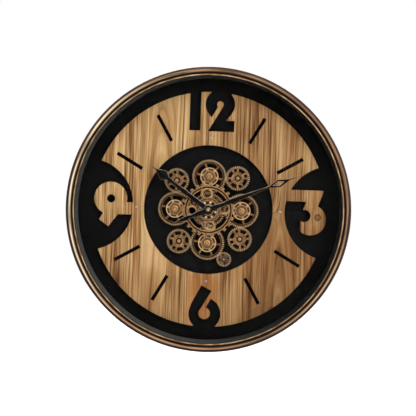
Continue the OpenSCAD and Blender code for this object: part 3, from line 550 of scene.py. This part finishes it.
gearLook = {
    "drive_pinion": {"teeth": 20, "pitch": 14.8, "deeper": 0.3, "slim": 0.5, "groove": 5.6},
    "centre_gear": {"teeth": 48, "pitch": 35.52, "deeper": 1.3, "slim": 0.34, "groove": 31.4},
    "medium_gear": {"teeth": 48, "pitch": 35.52, "deeper": 1.3, "slim": 0.34, "groove": 31.6},
    "corner_gear": {"teeth": 34, "pitch": 25.16, "deeper": 1.2, "slim": 0.34, "groove": 8.0,
                    "slots": ((20, 0.9), (14.5, -1.2))},  # radius of a slot's side, and how far it moves
}
gearHeights = {"front": 35.9, "middle": 34, "back": 32.1}  # mm above the wall
quarters = ("top", "right", "bottom", "left")
gearMiddle = {"drive_pinion": gearSpots["pinion"][0], "centre_gear": (0, 0), "centre_wheel": (0, 0)}
for side, mediumSpot, cornerSpot in zip(quarters, gearSpots["medium"], gearSpots["corner"]):
    gearMiddle["medium_gear_" + side] = mediumSpot
    gearMiddle["corner_gear_" + side] = cornerSpot
dullBand = {  # between these radii no edge is bared
    "medium_gear": (0, 32), "corner_gear": (0, 21.6), "centre_gear": (0, 32), "centre_wheel": (46.2, 49.8),
}


def familyOf(node):  # medium_gear_top is a medium_gear
    return "_".join(node.split("_")[:2])


def refill(piece, front):  # closes the open front or back of a gear round its windows
    pickOnly(piece)
    middle = wallY - gearHeights["middle"] * mm
    bpy.ops.object.mode_set(mode="EDIT")
    bpy.ops.mesh.select_mode(type="EDGE")
    bpy.ops.mesh.select_all(action="DESELECT")
    bpy.ops.mesh.select_non_manifold(use_wire=False, use_multi_face=False, use_non_contiguous=False,
                                     use_verts=False)
    bpy.ops.object.mode_set(mode="OBJECT")
    spots = piece.data.vertices
    for edge in piece.data.edges:
        if edge.select and (spots[edge.vertices[0]].co.y < middle) != front:
            edge.select = False
    bpy.ops.object.mode_set(mode="EDIT")
    bpy.ops.mesh.fill(use_beauty=True)
    bpy.ops.object.mode_set(mode="OBJECT")


def sharpenTeeth(piece, node):  # the real teeth are filed slim at the tip and deep at the root
    look, (middleX, middleZ) = gearLook[familyOf(node)], gearMiddle[node]
    teeth, pitch, slim = look["teeth"], look["pitch"], 1 - look["slim"]
    mesh = piece.data
    polar = []
    for vertex in mesh.vertices:
        x, z = vertex.co.x / mm - middleX, vertex.co.z / mm - middleZ
        polar.append((math.hypot(x, z), math.atan2(z, x)))
    tips = [turn for r, turn in polar if r > pitch + 1.2]
    phase = math.atan2(sum(math.sin(t * teeth) for t in tips), sum(math.cos(t * teeth) for t in tips)) / teeth
    step = 2 * math.pi / teeth
    for vertex, (r, turn) in zip(mesh.vertices, polar):
        off = (turn - phase + step / 2) % step - step / 2  # from the middle of the tooth
        if r > pitch + 1.2:
            turn -= off * slim
        elif pitch - 2.1 < r < pitch - 1.5:
            r, turn = r - look["deeper"], turn - (off * 0.3 if abs(off) < step * 0.42 else 0)
        elif abs(r - pitch) < 0.3:
            turn -= off * slim * 0.60
        else:
            for slotR, more in look.get("slots", ()):  # the slots are sawn a little wider
                if abs(r - slotR) < 0.012:
                    r += more
                    break
            else:
                continue
        vertex.co.x, vertex.co.z = (middleX + r * math.cos(turn)) * mm, (middleZ + r * math.sin(turn)) * mm
    pickOnly(piece)
    bpy.ops.object.mode_set(mode="EDIT")
    bpy.ops.mesh.select_mode(type="FACE")
    bpy.ops.object.mode_set(mode="OBJECT")
    for face in mesh.polygons:
        front = face.center.y < wallY - gearHeights["front"] * mm
        back = face.center.y > wallY - gearHeights["back"] * mm
        outside = min(polar[v][0] for v in face.vertices) > look["groove"] - 0.05
        face.select = abs(face.normal.y) > 0.99 and ((front and outside) or back)
    bpy.ops.object.mode_set(mode="EDIT")
    bpy.ops.mesh.delete(type="FACE")
    bpy.ops.object.mode_set(mode="OBJECT")
    refill(piece, True)
    refill(piece, False)
    bpy.ops.object.mode_set(mode="EDIT")
    bpy.ops.mesh.select_all(action="SELECT")
    bpy.ops.mesh.normals_make_consistent(inside=False)
    bpy.ops.object.mode_set(mode="OBJECT")


barLook = {"turns": (30, 60, 120, 150, 210, 240, 300, 330), "half": 3.1, "inner": 160, "outer": 235,
           "wider": 0.6, "longer": 0.5}


def widenBars(piece):  # the saw leaves the hour bars a little wide
    middle = 200  # between the two ends of a bar
    for turn in barLook["turns"]:
        along = Vector((math.sin(math.radians(turn)), 0, math.cos(math.radians(turn))))
        across = Vector((along.z, 0, -along.x))
        for vertex in piece.data.vertices:
            side, out = vertex.co.dot(across) / mm, vertex.co.dot(along) / mm
            if abs(abs(side) - barLook["half"]) < 0.02 and barLook["inner"] < out < barLook["outer"]:
                wider, longer = math.copysign(barLook["wider"], side), math.copysign(barLook["longer"], out - middle)
                vertex.co += across * wider * mm + along * longer * mm


def dressNode(node, width, segments=2, edge=None):
    piece = mergedCopy(node, node + "_finished")
    if familyOf(node) in gearLook:
        sharpenTeeth(piece, node)
    if node == "wood_dial":
        widenBars(piece)
    look = finishOf[node]
    piece.data.materials.clear()
    piece.data.materials.append(finish[look])
    if edge:
        piece.data.materials.append(finish[edge])
    for face in piece.data.polygons:
        face.material_index = 0
    softenEdges(piece, width, segments, 1 if edge else -1)
    if familyOf(node) in dullBand:  # bare edges only at the teeth, not in grooves and windows
        middleX, middleZ = gearMiddle[node]
        nearest, farthest = dullBand[familyOf(node)]
        for face in piece.data.polygons:
            if nearest < math.hypot(face.center.x / mm - middleX, face.center.z / mm - middleZ) < farthest:
                face.material_index = 0
    fitOut(piece, look, node)


def arcPoints(centreR, centreH, radius, start, end, count):
    turns = [math.radians(start + (end - start) * i / count) for i in range(count + 1)]
    return [(centreR + radius * math.cos(a), centreH + radius * math.sin(a)) for a in turns]


def turnPiece(name, outline, steps, look):
    # outline in mm: distance from the axis, height above the wall; turned about the clock axis
    spots = [Vector((r * mm, wallY - h * mm, 0)) for r, h in outline]
    bpy.ops.object.select_all(action="DESELECT")
    bpy.ops.mesh.primitive_plane_add(size=mm)
    piece = bpy.context.object
    piece.name = name
    bpy.ops.object.mode_set(mode="EDIT")
    bpy.ops.mesh.select_mode(type="VERT")
    bpy.ops.mesh.select_all(action="SELECT")
    bpy.ops.mesh.merge(type="CENTER")
    bpy.ops.transform.translate(value=spots[0])
    for here, there in zip(spots, spots[1:] + spots[:1]):
        bpy.ops.mesh.extrude_region_move(TRANSFORM_OT_translate={"value": there - here})
    bpy.ops.mesh.select_all(action="SELECT")
    bpy.ops.mesh.remove_doubles(threshold=0.002 * mm)
    bpy.ops.mesh.spin(steps=steps, angle=2 * math.pi, center=(0, 0, 0), axis=(0, 1, 0))
    bpy.ops.mesh.select_all(action="SELECT")
    bpy.ops.mesh.remove_doubles(threshold=0.002 * mm)
    bpy.ops.mesh.normals_make_consistent(inside=False)
    bpy.ops.object.mode_set(mode="OBJECT")
    piece.data.materials.append(finish[look])
    bpy.ops.object.shade_smooth_by_angle(angle=math.radians(38))
    return piece


# case
caseLook = {"steps": 320, "sleeveSteps": 240, "wall": 296.5, "inner": 286.0, "cavity": 290.3,
            "paneR": 285.6, "paneHeight": 60.5, "paneThick": 3}


def makeCase():
    wall, inner, cavity = caseLook["wall"], caseLook["inner"], caseLook["cavity"]
    outline = [(cavity, 0.0), (295.3, 0.0), (296.1, 0.4), (wall, 1.2), (wall, 20.0), (296.2, 20.6), (wall, 21.2),
               (wall, 38.4), (296.6, 40.9)]
    outline += arcPoints(297.3, 43.5, 2.5, -100, 62, 12)
    outline += [(298.1, 47.2), (298.5, 48.0), (298.5, 60.7)]
    outline += arcPoints(294.5, 64.5, 5.5, -40, 146, 26)
    outline += [(289.75, 67.15), (289.55, 66.7)]
    outline += arcPoints(294.5, 64.5, 5.5, 158, 180, 4)
    outline += [(289.0, 63.1), (288.7, 62.2), (288.1, 62.0), (inner, 62.0), (inner, 26.0), (cavity, 26.0)]
    moulding = turnPiece("frame_moulding", outline, caseLook["steps"], "framePaint")
    fitOut(moulding, "framePaint", "outer_frame")
    bead = [(281.5, 62.0), (288.6, 62.0), (288.6, 63.2), (288.2, 63.6), (285.9, 63.6)]
    bead += arcPoints(283.9, 64.3, 2.1, -19, 199, 18) + [(281.7, 63.5)]
    beadPiece = turnPiece("gold_bead", bead, caseLook["steps"], "beadPaint")
    fitOut(beadPiece, "beadPaint", "glass_bead")
    sleeve = [(281.4, 26.0), (285.7, 26.0), (285.7, 59.0), (281.9, 59.0), (281.5, 58.7), (281.4, 58.3)]
    sleevePiece = turnPiece("black_sleeve", sleeve, caseLook["sleeveSteps"], "sleeveBlack")
    fitOut(sleevePiece, "sleeveBlack", "inner_sleeve")
    bpy.ops.object.select_all(action="DESELECT")
    bpy.ops.mesh.primitive_cylinder_add(vertices=caseLook["sleeveSteps"], radius=caseLook["paneR"] * mm,
                                        depth=caseLook["paneThick"] * mm, rotation=(math.pi / 2, 0, 0),
                                        location=(0, wallY - caseLook["paneHeight"] * mm, 0))
    pane = bpy.context.object
    pane.name = "glass_sheet"
    bpy.ops.object.transform_apply()
    softenEdges(pane, 0.5)
    pane.data.materials.append(finish["clearGlass"])
    fitOut(pane, "clearGlass", "glass_pane")
    print("case turned")


makeCase()

edgeWidths = {  # flat and turned pieces: width of the rounding in mm, its steps, and a finish for bared edges
    "wood_dial": (0.35, 2, None), "dial_backing": (0.4, 2, None), "dial_screws": (0.18, 2, None),
    "centre_gear": (0.16, 2, "wornEdge"), "centre_wheel": (0.45, 2, "wornEdge"), "hub_flange": (0.3, 2, "wornEdge"),
    "wheel_spacer": (0.3, 1, None), "drive_pinion": (0.25, 2, None), "medium_caps": (0.35, 2, None),
    "corner_caps": (0.25, 2, None), "hour_hand": (0.5, 2, "handRimCopperAndHighlight"), "minute_hand": (0.5, 2, "handRimCopperAndHighlight"),
    "hand_nut": (0.25, 2, None), "bush_collar": (0.2, 2, None), "backing_brackets": (0.35, 2, None),
    "hanger_plate": (0.35, 2, None), "movement_case": (0.7, 3, None), "movement_cover": (0.4, 2, None),
    "motor_case": (0.7, 3, None), "motor_cover": (0.4, 2, None), "medium_nuts": (0.35, 2, None),
    "corner_nuts": (0.3, 2, None), "cell_contacts": (0.2, 1, None), "medium_axles": (0.3, 2, None),
    "corner_axles": (0.25, 2, None), "axle_washers": (0.15, 1, None), "dry_cells": (0.35, 2, None),
    "bush_nut": (0.25, 2, None), "motor_can": (0.5, 2, None), "hour_wheel": (0.15, 1, None),
}
for side in quarters:
    edgeWidths["medium_gear_" + side] = (0.16, 2, "wornEdge")
    edgeWidths["medium_ring_" + side] = (0.35, 2, "wornEdge")
    edgeWidths["corner_gear_" + side] = (0.16, 2, "wornEdge")
for node, (width, segments, edge) in edgeWidths.items():
    dressNode(node, width, segments, edge)
print("edges rounded:", len(edgeWidths))


knobLook = {"x": 12, "points": 60, "rim": (5.6, 5.6, 5.25), "front": 2.4, "thick": 1.8, "dish": (1.6, 0.5),
            "stemR": 1, "stemLong": 12.8, "stemMiddle": 8.6}


def makeKnob():  # setting knob with a knurled rim
    points, rim = knobLook["points"], knobLook["rim"]
    bpy.ops.object.select_all(action="DESELECT")
    bpy.ops.mesh.primitive_circle_add(vertices=points, radius=rim[0] * mm, fill_type="NGON",
                                      rotation=(math.pi / 2, 0, 0))
    knob = bpy.context.object
    knob.name = "knurled_knob"
    bpy.ops.object.transform_apply()
    for step, vertex in enumerate(knob.data.vertices):
        turn, r = 2 * math.pi * step / points, rim[step % 3]
        vertex.co = ((knobLook["x"] + r * math.cos(turn)) * mm, wallY - knobLook["front"] * mm,
                     r * math.sin(turn) * mm)
    bpy.ops.object.mode_set(mode="EDIT")
    bpy.ops.mesh.select_mode(type="FACE")
    bpy.ops.mesh.select_all(action="SELECT")
    bpy.ops.mesh.extrude_region_move(TRANSFORM_OT_translate={"value": (0, knobLook["thick"] * mm, 0)})
    width, deep = knobLook["dish"]
    bpy.ops.mesh.inset(thickness=width * mm)
    bpy.ops.transform.translate(value=(0, -deep * mm, 0))
    bpy.ops.mesh.select_all(action="SELECT")
    bpy.ops.mesh.normals_make_consistent(inside=False)
    bpy.ops.object.mode_set(mode="OBJECT")
    bpy.ops.object.select_all(action="DESELECT")
    bpy.ops.mesh.primitive_cylinder_add(vertices=32, radius=knobLook["stemR"] * mm,
                                        depth=knobLook["stemLong"] * mm, rotation=(math.pi / 2, 0, 0),
                                        location=(knobLook["x"] * mm, wallY - knobLook["stemMiddle"] * mm, 0))
    stem = bpy.context.object
    bpy.ops.object.transform_apply()
    softenEdges(stem, 0.2)
    softenEdges(knob, 0.12, 1)
    stem.select_set(True)
    bpy.ops.object.join()
    knob.data.materials.append(finish["whitePlastic"])
    fitOut(knob, "whitePlastic", "set_knob")


makeKnob()

# camera, stage and light
view = {"distance": 1.50, "up": 1.5, "right": 0.8, "roll": 2.0,  # metres, degrees
        "picture": 416, "scale": 2.094, "centre": (208.0, 210.2)}  # pixels, mm in a pixel


def makeCamera():
    crest = Vector((0, -35 * mm, 0))
    up, right = math.radians(view["up"]), math.radians(view["right"])
    away = Vector((math.sin(right) * math.cos(up), -math.cos(right) * math.cos(up), math.sin(up)))
    camera = bpy.data.objects.new("camera", bpy.data.cameras.new("camera"))
    bpy.context.scene.collection.objects.link(camera)
    camera.data.sensor_width = 36
    camera.data.lens = 36 * view["distance"] / (view["picture"] * view["scale"] * mm)
    camera.data.clip_start = 0.05
    roll = Matrix.Rotation(math.radians(view["roll"]), 3, "Z")
    looking = (-away).to_track_quat("-Z", "Y").to_matrix() @ roll
    # the clock's middle stands beside the picture's middle, so the camera is turned by that much
    half = view["picture"] / 2
    offX = (half - view["centre"][0]) * view["scale"] * mm
    offY = (view["centre"][1] - half) * view["scale"] * mm
    camera.location = crest + away * view["distance"]
    aim = crest + looking @ Vector((offX, offY, 0))
    turned = (aim - camera.location).to_track_quat("-Z", "Y").to_matrix()
    camera.rotation_euler = (turned @ roll).to_euler()
    bpy.context.scene.camera = camera


lamps = {"key": ((2.7, -2.4, 1.6), 84), "top": ((-0.3, -1.6, 2.6), 40), "back": ((-0.6, 1.8, 1.2), 30)}
stageLook = {"radius": 2.4, "height": -0.42, "lampSize": 1.2, "soft": 0.30}  # metres, and the world's strength


def areaLight(name, place, power):
    light = bpy.data.objects.new(name, bpy.data.lights.new(name, "AREA"))
    light.data.shape, light.data.size, light.data.energy = "DISK", stageLook["lampSize"], power
    light.location = place
    light.rotation_euler = (-Vector(place)).to_track_quat("-Z", "Y").to_euler()
    bpy.context.scene.collection.objects.link(light)


def makeStage():
    bpy.ops.object.select_all(action="DESELECT")
    bpy.ops.mesh.primitive_circle_add(vertices=96, radius=stageLook["radius"], fill_type="NGON",
                                      location=(0, 0, stageLook["height"]))
    floor = bpy.context.object
    floor.name = "floor"
    p = Paint("floorPale", Roughness=0.8, Emission_Strength=0.5)
    where = p.place()
    x, y, z = p.axes(where)
    p.finish(p.blend(p.noise(where, 40.0), (0.86, 0.86, 0.86), (0.90, 0.90, 0.90)))
    p.tree.links.new(span(x, y).fade(2.2, 0.6).socket, p.shader.inputs["Alpha"])  # fades into the background
    seen = p.add("ShaderNodeLightPath", {}, out="Is Camera Ray")  # looks white, and doesn't light the clock
    p.tree.links.new(seen.socket, p.shader.inputs["Emission Color"])
    floor.data.materials.append(p.material)
    makeWorld()
    for name, (place, power) in lamps.items():
        areaLight(name, place, power)
    bpy.context.scene.view_settings.view_transform = "Standard"


def makeWorld():  # white to look at, in gloss and through glass, and dim as a light
    world = bpy.data.worlds.new("studio")
    bpy.context.scene.world = world
    world.use_nodes = True
    tree = world.node_tree
    tree.nodes.clear()
    path = tree.nodes.new("ShaderNodeLightPath")
    seen = None
    for ray in ("Is Camera Ray", "Is Glossy Ray", "Is Transmission Ray"):
        most = tree.nodes.new("ShaderNodeMath")
        most.operation = "MAXIMUM"
        tree.links.new(path.outputs[ray], most.inputs[0])
        if seen:
            tree.links.new(seen.outputs[0], most.inputs[1])
        seen = most
    mix = tree.nodes.new("ShaderNodeMixShader")
    tree.links.new(seen.outputs[0], mix.inputs[0])
    for place, strength in ((1, stageLook["soft"]), (2, 1.0)):
        ground = tree.nodes.new("ShaderNodeBackground")
        ground.inputs["Color"].default_value = (1, 1, 1, 1)
        ground.inputs["Strength"].default_value = strength
        tree.links.new(ground.outputs[0], mix.inputs[place])
    tree.links.new(mix.outputs[0], tree.nodes.new("ShaderNodeOutputWorld").inputs["Surface"])


makeCamera()
makeStage()
print("camera and stage set")
